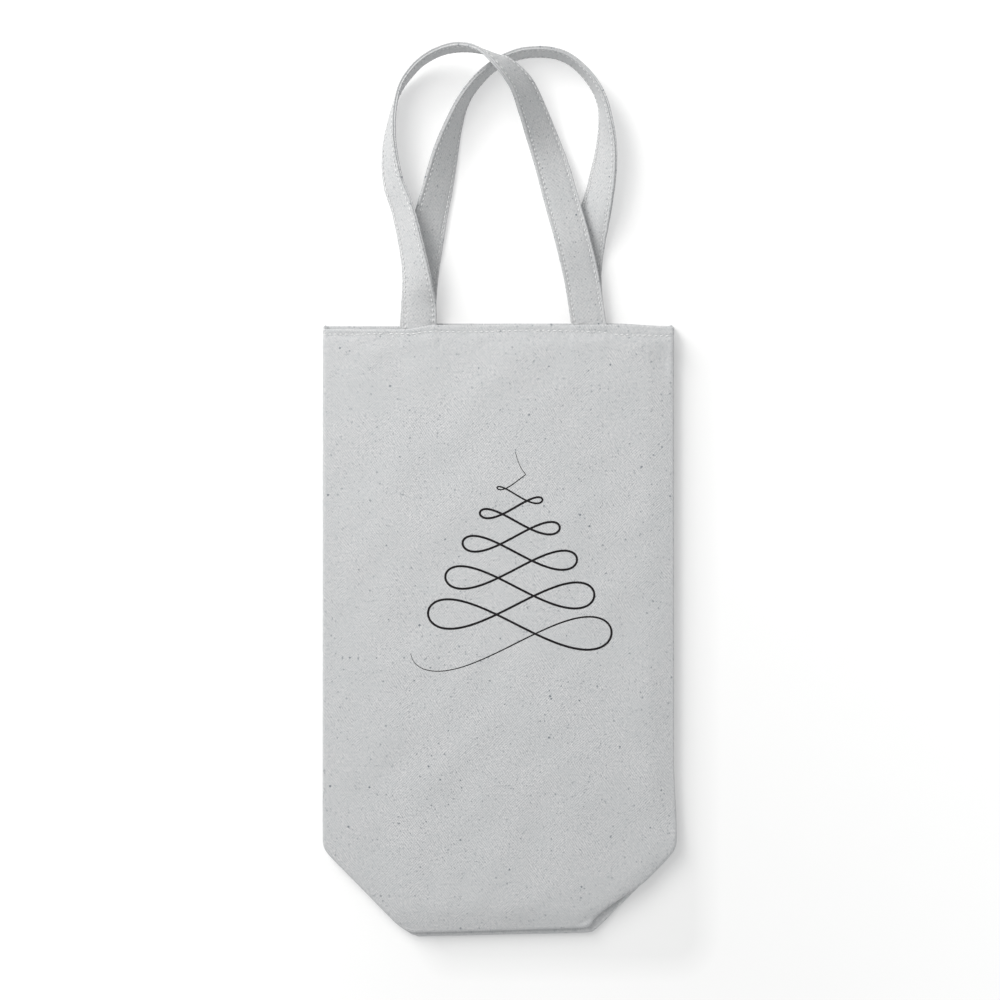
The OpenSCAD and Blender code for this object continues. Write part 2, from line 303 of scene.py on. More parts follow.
def surface(u, v, layer):
    """Point and outward normal of the middle of the cloth at cloth place (u, v)."""
    side = 1 if u >= 0 else -1
    across = abs(u)
    radius, angle, wall, main, turn = fold_shape(v, layer)
    boundary = edge_x(side, v, layer) - (radius + CLOTH / 2) / math.cos(main)
    lift = smooth((v - (TOP - 40)) / 40) * top_shift(u, layer)
    lean = FOOT_LEAN if layer == "back" else FOOT_LEAN + 0.3
    lift += (0.5 + lean * side * min(1.0, across / FLAT)) * smooth((BOTTOM + 40 - v) / 40)
    # the outer corners of the foot are rounded
    round_off = max(0.0, 1 - (v - face_low(layer)) / 5) ** 2 * smooth((across / FLAT - 0.92) / 0.08)
    lift += 0.9 * round_off * (1 if side < 0 else 0.4)
    boundary -= 0.4 * round_off
    top = FRONT_MID - BAG_T / 2
    pucker = hem_pucker(u, v, layer) if v > TOP - 18 else 0.0
    if across <= FLAT:
        x = side * boundary * across / FLAT
        height = top + relief(u, v, layer) + pucker + drop(x, v, layer)
        point = [x, v + lift, height]
        normal = [0.0, 0.0, 1.0]
    else:
        part = (across - FLAT) / ARC
        length = min(part, 1.0) * (radius * angle + wall)
        theta = min(length / radius, angle)
        straight = max(0.0, length - radius * angle) + max(0.0, across - SEAM)
        inset = 0.0 if layer == "front" else 0.75 * smooth((part - 0.5) / 0.4)
        inset *= wall / SIDE_WALL
        out = radius * math.sin(theta) + straight * math.cos(theta) - inset
        down = radius * (1 - math.cos(theta)) + straight * math.sin(theta)
        x = side * (boundary + out * math.cos(turn))
        level = top + drop(side * boundary, v, layer)
        if layer == "front":
            level += relief(side * FLAT, v, layer) * (1 - smooth(part))
        point = [x, v + lift - out * math.sin(turn), level - down]
        normal = [side * math.sin(theta) * math.cos(turn), -math.sin(theta) * math.sin(turn),
                  math.cos(theta)]
        point[2] += pucker * math.cos(theta)
        point[0] += side * pucker * math.sin(theta) * 0.5
    if layer == "back":
        point[2] = -point[2]
        normal[2] = -normal[2]
    point[2] += BAG_T / 2
    return point, normal


def fold_line(v):
    """Cloth place of the side-fold line at height v, from the side seam up to the mouth."""
    return SEAM - (SEAM - FOLD_TOP) * (v - CREASE) / (TOP - CREASE)


def cloth_rows():
    """Heights of the mesh rows above the foot corner: close together at the hem."""
    wide = np.linspace(CREASE, TOP - 8, 126)
    near = np.linspace(TOP - 8, TOP, 17)[1:]
    return [float(v) for v in np.concatenate([wide, near])]


def foot_rows(layer):
    """Heights of the rows of the foot, close together at its fold."""
    start = face_low(layer)
    near = [start + d for d in (0, 0.35, 0.8, 1.4, 2.2, 3.2, 4.5, 6)]
    return near + [float(v) for v in np.linspace(start + 8, CREASE, 19)[:-1]]


# Hem rows past the mouth edge: (distance back down the cloth, distance inwards)
HEM_TURN = [(-HEM_GAP / 2 * math.sin(a), HEM_GAP / 2 * (1 - math.cos(a)))
            for a in [math.pi * k / 6 for k in range(1, 7)]]
HEM_ROWS = HEM_TURN + [(d, HEM_GAP) for d in (1.5, STITCH_INSET, 4.5, 7, 9.5, HEM_DEPTH)]


def hem_points(place, layer):
    """Rows of the turned hem above cloth place u at the mouth."""
    result = []
    for back, inward in HEM_ROWS:
        point, normal = surface(place, TOP - max(back, 0), layer)
        point = [p - inward * n for p, n in zip(point, normal)]
        point[1] -= min(back, 0)
        result.append((point, (place, TOP + abs(back) + inward)))
    return result


def middle_sheet(name, layer, material):
    """The middle of one face, its foot and the folds round the foot."""
    face = [float(u) for u in np.linspace(-FLAT, FLAT, 187)]
    arc = [FLAT + ARC * k / 6 for k in range(1, 7)]
    columns = [-u for u in arc[::-1]] + face + arc
    run = [SEAM + d for d in (1.2, 2.6, FOOT_RUN)]
    points, uvs, faces = [], [], []
    foot = foot_rows(layer)
    upper = cloth_rows()
    rows = foot + upper
    for v in rows:
        share = fold_line(v) / SEAM if v > CREASE else 1.0
        for u in columns:
            point, normal = surface(u * share, v, layer)
            points.append(point)
            past = math.copysign(max(0.0, abs(u * share) - FLAT), u)
            uvs.append((point[0] + past, v))
    for k in range(len(HEM_ROWS)):
        for u in columns:
            point, uv = hem_points(u * fold_line(TOP) / SEAM, layer)[k]
            points.append(point)
            uvs.append(uv)
    flip = layer == "back"
    count = len(columns)
    faces += lattice_faces(len(rows) + len(HEM_ROWS), count, 0, flip)
    # the cloth past the folds of the corners runs back inwards
    ends = {}
    for side, edge in ((-1, 0), (1, count - 1)):
        previous = None
        for j, v in enumerate(foot + [CREASE]):
            line = [j * count + edge]
            for u in run:
                point, normal = surface(side * u, v, layer)
                line.append(len(points))
                points.append(point)
                uvs.append((side * u, v))
            if previous is not None:
                for k in range(len(run)):
                    quad = (previous[k], previous[k + 1], line[k + 1], line[k])
                    faces.append(quad if (side > 0) != flip else quad[::-1])
            previous = line
            if j == 0:
                ends[side] = line
    # the fold along the bottom, one profile below each face column
    start = face_low(layer)
    first, last = len(arc), count - 1 - len(arc)
    left = [len(arc) - k for k in range(len(arc) + 1)] + ends[-1][1:]
    right = [last + k for k in range(len(arc) + 1)] + ends[1][1:]
    previous = left
    for i in range(first + 1, last + 1):
        if i == last:
            line = right
        else:
            line = [i]
            u = columns[i]
            side = 1 if u > 0 else -1
            base, normal = surface(u, start, layer)
            turn = math.radians(22.5) * (1 - smooth((FLAT - abs(u)) / 3))
            way = (side * math.sin(turn), -math.cos(turn))
            steps = [(BASE_R * math.sin(math.pi * k / 6), BASE_R * (1 - math.cos(math.pi * k / 6)))
                     for k in range(1, 7)]
            steps += [(SEAM - d, 2 * BASE_R) for d in run]
            for k, (out, down) in enumerate(steps):
                z = base[2] - down if layer == "front" else base[2] + down
                line.append(len(points))
                points.append([base[0] + out * way[0], base[1] + out * way[1], z])
                uvs.append((base[0], start - (k + 1) * 0.7))
        for k in range(len(line) - 1):
            quad = (previous[k], previous[k + 1], line[k + 1], line[k])
            faces.append(quad if not flip else quad[::-1])
        previous = line
    piece = make_mesh(name, points, faces, uvs, material)
    return thicken(piece, CANVAS_T)


def side_sheet(name, layer, side, material):
    """The side fold of one face: from the slanted fold line round to the side seam."""
    shares = [float(g) for g in np.linspace(0, 1, 46)]
    points, uvs = [], []
    rows = cloth_rows()
    end = SEAM + LIP

    def place(g, v):
        start = fold_line(v)
        return side * (start + g * (end - start))

    for v in rows:
        for g in shares:
            point, normal = surface(place(g, v), v, layer)
            points.append(point)
            uvs.append((place(g, v), v))
    for k in range(len(HEM_ROWS)):
        for g in shares:
            point, uv = hem_points(place(g, TOP), layer)[k]
            points.append(point)
            uvs.append(uv)
    flip = (layer == "back") != (side < 0)
    faces = lattice_faces(len(rows) + len(HEM_ROWS), len(shares), 0, flip)
    piece = make_mesh(name, points, faces, uvs, material)
    return thicken(piece, CANVAS_T)


def base_sheet(name, layer, material):
    """Half of the folded base with its two corner gussets, rising inwards to the base seam."""
    points, uvs = [], []
    start = face_low(layer)
    rows = [float(v) for v in np.linspace(start + 3.4, CREASE + 1.5, 24)]
    shares = [float(g) for g in np.linspace(-1, 1, 61)]
    low_z = FRONT_MID - 2 * BASE_R
    high_z = BAG_T / 2 + 0.55
    for v in rows:
        along = (v - rows[0]) / (rows[-1] - rows[0])
        for g in shares:
            side = 1 if g > 0 else -1
            reach = edge_x(side, min(v, CREASE - 2), layer) - BASE_INSET
            x = g * reach
            z = low_z + (high_z - low_z) * along + drop(x, v, layer)
            # the corner seams stand a little proud
            z -= 0.35 * math.exp(-((abs(x) - GUSSET) / 1.1) ** 2)
            z += 0.25 * noise.noise(Vector((x / 20, v / 20, 5.0))) * math.sin(math.pi * along)
            points.append([x, v, z if layer == "front" else BAG_T - z])
            uvs.append((x, 2 * start - v))
    faces = lattice_faces(len(rows), len(shares), 0, layer == "front")
    piece = make_mesh(name, points, faces, uvs, material)
    return thicken(piece, CANVAS_T)


# ---- Straps ----


def catmull(a, b, c, d, t):
    return [0.5 * (2 * q + (r - p) * t + (2 * p - 5 * q + 4 * r - s) * t * t
                   + (3 * q - p - 3 * r + s) * t ** 3) for p, q, r, s in zip(a, b, c, d)]


def strap_middles(route):
    """Route points and middle points all along a strap, its sewn ends included."""
    last = len(route) - 1
    samples = []
    for i in range(last):
        for k in range(STRAP_STEPS):
            samples.append(catmull(route[max(i - 1, 0)], route[i], route[i + 1],
                                   route[min(i + 2, last)], k / STRAP_STEPS))
    samples.append(list(route[last]))
    ends = [-STRAP_TUCK + STRAP_TUCK * k / 8 for k in range(9)]
    z = route[0][2]
    samples = [[route[0][0], y, z, 0] for y in ends] + samples
    samples += [[route[last][0], y, z, 0] for y in ends[::-1]]
    middles = []
    for x, y, lift, tilt in samples:
        t = math.radians(tilt)
        middles.append(np.array([x, TOP + y, lift + STRAP_W / 2 * math.sin(t)
                                 + STRAP_T / 2 * math.cos(t)]))
    return samples, middles


def strap_sections(route, face):
    """Middle, direction, across and out vectors and the length so far, all along a strap."""
    samples, middles = strap_middles(route)
    last = len(samples) - 1
    sections = []
    length = 0.0
    for i in range(last + 1):
        ahead = middles[min(i + 1, last)] - middles[max(i - 1, 0)]
        along = ahead / np.linalg.norm(ahead)
        outward = np.cross([0, 0, 1], along)
        outward /= np.linalg.norm(outward)
        rise = np.cross(along, outward)
        t = math.radians(samples[i][3])
        wide = face * math.cos(t) * outward + math.sin(t) * rise
        out = -face * math.sin(t) * outward + math.cos(t) * rise
        if i:
            length += np.linalg.norm(middles[i] - middles[i - 1])
        sections.append((middles[i], along, wide, out, length))
    return sections


def strap_swell(length, total):
    """The four layers of a strap lie looser between its sewn ends than at them."""
    return 1 + (STRAP_SWELL * smooth((length - SWELL_START) / SWELL_RUN)
                * smooth((total - SWELL_START - length) / SWELL_RUN))


def strap_profile():
    """Half section of a folded strap: (across, half thickness), with a groove at the stitching."""
    half = STRAP_W / 2
    round_r = STRAP_T / 2
    acrosses = [-half + 0.03, -half + 0.2, -half + 0.5, -half + round_r, -half + 1.35,
                -STRAP_LINE, -half + 2.5, -half + 3.4, -3.2, -1.0]
    acrosses += [-a for a in acrosses[::-1]]
    profile = []
    for a in acrosses:
        edge = max(0.0, abs(a) - (half - round_r)) / round_r
        thick = round_r * max(0.0, 1 - edge ** SQUARENESS) ** (1 / SQUARENESS)
        thick -= 0.2 * math.exp(-((abs(a) - STRAP_LINE) / 0.55) ** 2)
        thick += 0.06 * math.cos(math.pi * a / STRAP_W)
        profile.append((a, thick))
    return profile


def strap_piece(name, route, face, material):
    sections = strap_sections(route, face)
    profile = strap_profile()
    groove = STRAP_W / 2 - 0.4
    ring = profile + [(groove, 0.0)] + [(-a, -b) for a, b in profile] + [(-groove, 0.0)]
    points, uvs = [], []
    width = 2 * STRAP_W
    total = sections[-1][4]
    for middle, along, wide, out, length in sections:
        swell = strap_swell(length, total)
        for k, (a, b) in enumerate(ring):
            wave = 0.16 * noise.noise(Vector((a / 5, length / 9, 21.0 + face)))
            fold = 0.14 * noise.noise(Vector((length / 4, 3.0, face)))
            dimple = 0.32 * math.exp(-((abs(a) - STRAP_LINE) / 0.9) ** 2)
            dimple *= 0.5 - 0.5 * math.cos(2 * math.pi * length / STRAP_STITCH_PITCH)
            raised = b * swell + wave - math.copysign(dimple, b)
            points.append(list(middle + (a + fold) * wide + raised * out))
            uvs.append((a if k < len(profile) else width - a, length))
    faces = []
    count = len(ring)
    for j in range(len(sections) - 1):
        for k in range(count):
            a, b = j * count + k, j * count + (k + 1) % count
            quad = (a, b, b + count, a + count)
            faces.append(quad if face > 0 else quad[::-1])
    cap = tuple(range(count))
    end = tuple((len(sections) - 1) * count + k for k in range(count))
    faces.append(cap[::-1] if face > 0 else cap)
    faces.append(end if face > 0 else end[::-1])
    return make_mesh(name, points, faces, uvs, material)


# ---- Stitches ----


def stitch_mesh(name, stitches, material, radius=THREAD_R):
    """Thread stitches, each (start, end, up), that arch a little and dip in at both ends."""
    points, faces = [], []
    rings, sides = 7, 7
    for start, end, up in stitches:
        start, end, up = np.array(start, float), np.array(end, float), np.array(up, float)
        along = end - start
        size = np.linalg.norm(along)
        along /= size
        across = np.cross(up, along)
        across /= np.linalg.norm(across)
        base = len(points)
        for j in range(rings):
            t = j / (rings - 1)
            bow = math.sin(math.pi * t)
            thick = radius * (0.45 + 0.55 * bow ** 0.5)
            middle = start + along * size * t + up * (0.16 * bow ** 0.7 - 0.14)
            for k in range(sides):
                a = 2 * math.pi * k / sides
                points.append(list(middle + thick * (math.cos(a) * across + math.sin(a) * up)))
        for j in range(rings - 1):
            for k in range(sides):
                a, b = base + j * sides + k, base + j * sides + (k + 1) % sides
                faces.append((a, b, b + sides, a + sides))
        faces.append(tuple(base + k for k in range(sides))[::-1])
        faces.append(tuple(base + (rings - 1) * sides + k for k in range(sides)))
    return make_mesh(name, points, faces, None, material, 80)


def hem_stitches(start, end, layer, inside):
    """Stitches along the mouth between two cloth places, on the outer or inner cloth."""
    result = []
    count = int((end - start) / STITCH_PITCH)
    first = start + ((end - start) - (count - 1) * STITCH_PITCH - STITCH_LEN) / 2
    for k in range(count):
        jitter = [0.35 * noise.noise(Vector((k * 1.7, start, 31.0 + n))) for n in range(3)]
        length = STITCH_LEN * (1 + 0.3 * jitter[2])
        ends = []
        for n, u in enumerate((first + k * STITCH_PITCH, first + k * STITCH_PITCH + length)):
            point, normal = surface(u, stitch_line(u, layer) + jitter[n], layer)
            off = -(HEM_GAP + CANVAS_T / 2) if inside else CANVAS_T / 2
            ends.append([p + off * n for p, n in zip(point, normal)])
        up = [-n if inside else n for n in normal]
        result.append((ends[0], ends[1], up))
    return result


def strap_stitches(route, face):
    """Two rows of topstitching on both faces of a strap."""
    sections = strap_sections(route, face)
    lengths = [s[4] for s in sections]
    result = []

    def at(length, a, side):
        i = min(len(lengths) - 2, max(0, int(np.searchsorted(lengths, length)) - 1))
        t = (length - lengths[i]) / (lengths[i + 1] - lengths[i])
        p, q = sections[i], sections[i + 1]
        middle = p[0] + (q[0] - p[0]) * t
        wide = p[2] + (q[2] - p[2]) * t
        out = p[3] + (q[3] - p[3]) * t
        raised = STRAP_T / 2 * strap_swell(length, lengths[-1]) - 0.02
        return middle + a * wide + side * raised * out, side * out

    for row in (-1, 1):
        for side in (-1, 1):
            length = 1.0 + 0.9 * (row > 0)
            while length + STITCH_LEN < lengths[-1]:
                a = row * STRAP_LINE + 0.12 * noise.noise(Vector((length / 9, row, 8.0)))
                p, up = at(length, a, side)
                q, up = at(length + STRAP_STITCH, a, side)
                result.append((p, q, up))
                length += STRAP_STITCH_PITCH
    return result


# ---- Seams inside the bag ----


def seam_strip(name, strips, material):
    """Overlocked allowances: soft strips, each (start, end, across, width, thickness)."""
    points, uvs, faces = [], [], []
    section = [(-0.5, -0.35), (-0.42, -0.5), (0.42, -0.5), (0.5, -0.35), (0.5, 0.35), (0.42, 0.5),
               (-0.42, 0.5), (-0.5, 0.35)]
    n = len(section)
    for start, end, across, width, thickness in strips:
        start, end, across = np.array(start, float), np.array(end, float), np.array(across, float)
        along = (end - start) / np.linalg.norm(end - start)
        up = np.cross(along, across)
        up /= np.linalg.norm(up)
        count = int(np.linalg.norm(end - start) / SEAM_PITCH)
        base = len(points)
        for j in range(count + 1):
            middle = start + (end - start) * j / count
            swell = 0.9 + 0.1 * math.cos(math.pi * j)
            wave = 0.10 * noise.noise(Vector((j / 14, width, 4.0)))
            for a, b in section:
                points.append(list(middle + a * width * swell * across
                                   + (b * (thickness - 0.2) * swell + wave) * up))
                uvs.append((a * width, j * SEAM_PITCH))
        for j in range(count):
            for k in range(n):
                a, b = base + j * n + k, base + j * n + (k + 1) % n
                faces.append((a, b, b + n, a + n))
        faces.append(tuple(base + k for k in range(n))[::-1])
        faces.append(tuple(base + count * n + k for k in range(n)))
    return make_mesh(name, points, faces, uvs, material)


def corner_strips(node):
    """The two strips of a pair of corner seams, which rise from the foot towards the crease."""
    (x0, y0, z0), (x1, y1, z1) = box_mm(node)
    low_z, high_z = (z0 + CLOTH / 2, z1 - CLOTH / 2)
    if low_z > BAG_T / 2:
        low_z, high_z = high_z, low_z
    width = 4.0
    return [((x, y0, low_z), (x, y1, high_z), (1, 0, 0), width, CLOTH)
            for x in (x0 + width / 2, x1 - width / 2)]


# ---- Printed tree ----

PRINT_W = 104.0
PRINT_H = 88.0
PRINT_X = 8.5            # middle of the tree
PRINT_Y = 9.0            # height of its first loops
PRINT_SWINGS = 5.75
PRINT_LOOPS = 0.22       # height of a loop for its width
PRINT_TIP = 12.0
LINE_W = 1.12


def tree_point(t):
    a = 2 * math.pi * PRINT_SWINGS * t
    half = PRINT_W / 2 * (0.05 + 0.95 * t)
    return (PRINT_X + half * math.sin(a),
            PRINT_Y - PRINT_H * t ** 1.3 - PRINT_LOOPS * half * math.sin(2 * a)
            + PRINT_TIP * math.exp(-t / 0.03))


def print_piece(name, cloth, material):
    """The ink: a thin closed ribbon that follows the cloth."""
    tree = BVHTree.FromObject(cloth, bpy.context.evaluated_depsgraph_get())
    count = 1400
    section = [(-0.5, -0.12), (-0.5, 0.02), (-0.25, 0.05), (0.0, 0.055), (0.25, 0.05), (0.5, 0.02),
               (0.5, -0.12)]
    points, uvs, faces = [], [], []
    for i in range(count + 1):
        t = i / count
        x, y = tree_point(t)
        x0, y0 = tree_point(max(0, t - 0.0002))
        x1, y1 = tree_point(min(1, t + 0.0002))
        size = math.hypot(x1 - x0, y1 - y0)
        nx, ny = -(y1 - y0) / size, (x1 - x0) / size
        taper = min(1, 0.22 + 3 * t, 0.2 + 9 * (1 - t))
        for across, up in section:
            px, py = x + across * LINE_W * taper * nx, y + across * LINE_W * taper * ny
            hit = tree.ray_cast(Vector((px * MM, py * MM, 0.03)), Vector((0, 0, -1)))
            points.append([px, py, hit[0].z / MM + up])
            uvs.append((px, py))
    n = len(section)
    for i in range(count):
        for k in range(n):
            a, b = i * n + k, i * n + (k + 1) % n
            faces.append((a, a + n, b + n, b))
    faces.append(tuple(range(n)))
    faces.append(tuple(count * n + k for k in range(n))[::-1])
    return make_mesh(name, points, faces, uvs, material)


# ---- Materials ----


class Nodes:
    """A short way to build a node tree."""

    def __init__(self, name):
        self.material = bpy.data.materials.new(name)
        self.material.use_nodes = True
        self.tree = self.material.node_tree
        self.shader = self.tree.nodes["Principled BSDF"]

    def add(self, kind, inputs=(), **settings):
        node = self.tree.nodes.new(kind)
        for key, value in settings.items():
            setattr(node, key, value)
        for key, value in dict(inputs).items():
            if isinstance(value, bpy.types.NodeSocket):
                self.tree.links.new(value, node.inputs[key])
            else:
                node.inputs[key].default_value = value
        return node

    def math(self, operation, a, b=0.0, c=0.0):
        inputs = {0: a, 1: b}
        if operation == "MULTIPLY_ADD":
            inputs[2] = c
        return self.add("ShaderNodeMath", inputs, operation=operation).outputs[0]

    def range(self, value, low_in, high_in, low_out, high_out):
        return self.add("ShaderNodeMapRange", {0: value, 1: low_in, 2: high_in, 3: low_out,
                                               4: high_out}, clamp=True).outputs[0]

    def mix(self, factor, a, b):
        node = self.add("ShaderNodeMix", data_type="RGBA")
        for index, value in ((0, factor), (6, a), (7, b)):
            if isinstance(value, bpy.types.NodeSocket):
                self.tree.links.new(value, node.inputs[index])
            else:
                node.inputs[index].default_value = value
        return node.outputs[2]

    def noise(self, vector, scale, detail=2.0, rough=0.5):
        return self.add("ShaderNodeTexNoise", {"Vector": vector, "Scale": scale, "Detail": detail,
                                               "Roughness": rough}).outputs[0]

    def link(self, value, socket):
        self.tree.links.new(value, self.shader.inputs[socket])


def weave(nodes, place, pitch, lines=1.0, fibres=1.3):
    """Height of a twill weave, about 0 to 1, at a place in millimetres, under loose fibres."""
    split = nodes.add("ShaderNodeSeparateXYZ", {0: place})
    x, y = split.outputs[0], split.outputs[1]
    wander = nodes.noise(place, 0.12, 2.0)
    wander = nodes.math("MULTIPLY", nodes.math("SUBTRACT", wander, 0.5), 3.0)
    down = nodes.math("ADD", nodes.math("ADD", x, nodes.math("MULTIPLY", y, 0.72)), wander)
    down = nodes.math("SINE", nodes.math("MULTIPLY", down, 2 * math.pi / (pitch * 1.23)))
    up = nodes.math("SUBTRACT", nodes.math("SUBTRACT", x, y), wander)
    up = nodes.math("SINE", nodes.math("MULTIPLY", up, 2 * math.pi / (pitch * 1.35)))
    # one direction shows more clearly here, the other there
    patch = nodes.range(nodes.noise(place, 0.06, 3.0), 0.38, 0.62, 0.08 * lines, 0.30 * lines)
    height = nodes.math("MULTIPLY_ADD", down, patch, 0.5)
    height = nodes.math("MULTIPLY_ADD", up, nodes.math("SUBTRACT", 0.36 * lines, patch), height)
    fibre = nodes.noise(place, 0.9, 4.0, 0.78)
    return nodes.math("MULTIPLY_ADD", fibre, fibres, nodes.math("SUBTRACT", height, fibres / 2))


# Cloudy bluish patches, large and small: scale and range of the noise, and their strength
CLOUDS = ((0.035, 0.40, 0.62, 0.30), (0.28, 0.50, 0.66, 0.42))
# Dark cotton flecks: cell size in mm, share of the cells that hold one, radius in mm, strength
FLECKS = ((5.0, 0.18, 0.34, 0.75), (2.8, 0.36, 0.23, 0.56), (1.7, 0.36, 0.20, 0.38))


def canvas_material(name, colour, pitch, flecks, contrast, lines, fibres):
    """Undyed canvas: twill pitch, share of flecks, contrast, and strength of twill and fibres."""
    nodes = Nodes(name)
    uv = nodes.add("ShaderNodeUVMap", uv_map="cloth").outputs[0]
    place = nodes.add("ShaderNodeVectorMath", {0: uv, 1: (1 / MM, 1 / MM, 1 / MM)},
                      operation="MULTIPLY").outputs[0]
    height = weave(nodes, place, pitch, lines, fibres)
    light = tuple(min(1.0, c * (1 + 0.09 * contrast)) for c in colour) + (1.0,)
    dark = tuple(c * (1 - (0.14 - 0.012 * k) * contrast) for k, c in enumerate(colour)) + (1.0,)
    tone = nodes.range(height, 0.05, 0.95, 0.0, 1.0)
    shade = nodes.mix(tone, dark, light)
    bluish = tuple(c * f for c, f in zip(colour, (0.87, 0.905, 0.92))) + (1.0,)
    for scale, low_in, high_in, amount in CLOUDS:
        cloud = nodes.range(nodes.noise(place, scale, 4.0, 0.6), low_in, high_in, 0.0, amount)
        shade = nodes.mix(cloud, shade, bluish)
    for cell_size, share, size, strength in FLECKS:
        cell = nodes.add("ShaderNodeTexVoronoi", {"Vector": place, "Scale": 1 / cell_size,
                                                  "Randomness": 1.0})
        pick = nodes.add("ShaderNodeSeparateColor", {0: cell.outputs["Color"]})
        chosen = nodes.math("LESS_THAN", pick.outputs[0], share * flecks)
        squared = nodes.math("MULTIPLY", pick.outputs[1], pick.outputs[1])
        radius = nodes.math("MULTIPLY_ADD", squared, size, 0.42 * size)
        wobble = nodes.math("SUBTRACT", nodes.noise(place, 2.0, 2.0), 0.5)
        wobble = nodes.math("MULTIPLY", wobble, 0.7)
        reach = nodes.math("MULTIPLY_ADD", cell.outputs["Distance"], cell_size, wobble)
        spot = nodes.range(nodes.math("SUBTRACT", reach, radius), 0.0, 0.30, strength, 0.0)
        spot = nodes.math("MULTIPLY", spot, chosen)
        shade = nodes.mix(spot, shade, (0.10, 0.125, 0.15, 1.0))
    nodes.link(shade, "Base Color")
    bump = nodes.add("ShaderNodeBump", {"Height": height, "Strength": 0.6, "Distance": 0.00018})
    nodes.link(bump.outputs[0], "Normal")
    nodes.shader.inputs["Roughness"].default_value = 0.93
    nodes.shader.inputs["Specular IOR Level"].default_value = 0.2
    nodes.shader.inputs["Sheen Weight"].default_value = 0.05
    nodes.shader.inputs["Sheen Roughness"].default_value = 0.6
    return nodes.material


def thread_material(name, colour):
    nodes = Nodes(name)
    place = nodes.add("ShaderNodeTexCoord").outputs["Object"]
    twist = nodes.add("ShaderNodeTexWave", {"Vector": place, "Scale": 900.0, "Distortion": 2.0})
    shade = nodes.mix(twist.outputs[1], tuple(c * 0.88 for c in colour) + (1.0,), colour + (1.0,))
    nodes.link(shade, "Base Color")
    bump = nodes.add("ShaderNodeBump", {"Height": twist.outputs[1], "Strength": 0.4,
                                        "Distance": 0.00008})
    nodes.link(bump.outputs[0], "Normal")
    nodes.shader.inputs["Roughness"].default_value = 0.75
    nodes.shader.inputs["Specular IOR Level"].default_value = 0.3
    return nodes.material


def ink_material(name):
    nodes = Nodes(name)
    uv = nodes.add("ShaderNodeUVMap", uv_map="cloth").outputs[0]
    place = nodes.add("ShaderNodeVectorMath", {0: uv, 1: (1 / MM, 1 / MM, 1 / MM)},
                      operation="MULTIPLY").outputs[0]
    height = weave(nodes, place, 0.95)
    worn = nodes.range(height, 0.0, 0.30, 1.0, 0.0)
    shade = nodes.mix(worn, (0.010, 0.009, 0.010, 1.0), (0.045, 0.044, 0.046, 1.0))
    nodes.link(shade, "Base Color")
    bump = nodes.add("ShaderNodeBump", {"Height": height, "Strength": 0.35, "Distance": 0.00012})
    nodes.link(bump.outputs[0], "Normal")
    nodes.shader.inputs["Roughness"].default_value = 0.8
    nodes.shader.inputs["Specular IOR Level"].default_value = 0.2
    return nodes.material


# Painted shadow: the floor's glow is dimmed in a box beside the bag's right and lower edges
SHADOW_PAINT_LEFT, SHADOW_PAINT_TOP = -20.0, 60.0     # left and top of the stretch of floor that glows least
# Glow against the distance from there in metres: two ramps that are added up. The first paints a
# shadow beside the bag, the second raises the glow further off
PAINTED_SHADOW_GLOW_RAMPS = ((0.010, 0.024, 0.19, 0.285), (0.024, 0.2, 0.0, 0.09))


def floor_material(name):
    """White paper with a painted glow: its emission is dimmed beside the bag's right and lower
    edges to paint a shadow there, and rises further off.
    """
    nodes = Nodes(name)
    place = nodes.add("ShaderNodeTexCoord").outputs["Object"]
    paper = nodes.noise(place, 60.0, 3.0)
    shade = nodes.mix(paper, (0.715, 0.715, 0.715, 1.0), (0.725, 0.725, 0.725, 1.0))
    nodes.link(shade, "Base Color")
    nodes.shader.inputs["Emission Color"].default_value = (1, 1, 1, 1)
    # distance from a box that reaches the right and lower edges of the bag, where the painted
    # shadow lies
    half_box = ((HALF_W - SHADOW_PAINT_LEFT) / 2 * MM, (SHADOW_PAINT_TOP - BOTTOM) / 2 * MM, 0.0)
    middle = ((HALF_W + SHADOW_PAINT_LEFT) / 2 * MM, (SHADOW_PAINT_TOP + BOTTOM) / 2 * MM, 0.0)
    away = place
    for operation, value in (("SUBTRACT", middle), ("ABSOLUTE", None), ("SUBTRACT", half_box),
                             ("MAXIMUM", (0.0, 0.0, 0.0)), ("LENGTH", None)):
        inputs = {0: away} if value is None else {0: away, 1: value}
        step = nodes.add("ShaderNodeVectorMath", inputs, operation=operation)
        away = step.outputs[1 if operation == "LENGTH" else 0]
    near, far = [nodes.range(away, *ramp) for ramp in PAINTED_SHADOW_GLOW_RAMPS]
    # the emission is a painted shadow: lowest beside the bag, brighter further off
    nodes.link(nodes.math("ADD", near, far), "Emission Strength")
    nodes.shader.inputs["Roughness"].default_value = 0.9
    nodes.shader.inputs["Specular IOR Level"].default_value = 0.1
    return nodes.material


canvas = canvas_material("canvas", (0.606, 0.602, 0.602), pitch=1.0, flecks=1.6, contrast=2.2,
                         lines=0.9, fibres=2.3)
strap_canvas = canvas_material("strap_canvas", (0.580, 0.577, 0.577), pitch=1.2, flecks=1.5,
                               contrast=1.7, lines=0.5, fibres=2.2)
thread = thread_material("thread", (0.84, 0.845, 0.845))
ink = ink_material("print_ink")


# ---- Build the bag ----

PARENT = {"front": "front", "back": "root"}     # the body that each face belongs to
SIDES = {"left": -1, "right": 1}
STRAPS = (("front", FRONT_ROUTE, -1), ("back", BACK_ROUTE, 1))


def hinge_axis(name):
    """Anchor and unit direction of a joint, in metres."""
    return Vector(HINGE[name]["pos_m"]), Vector(HINGE[name]["axis"]).normalized()


def fold_blend(piece):
    """Bakes a piece's placement into its mesh; the piece is not bent over a side-fold line."""
    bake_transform(piece)


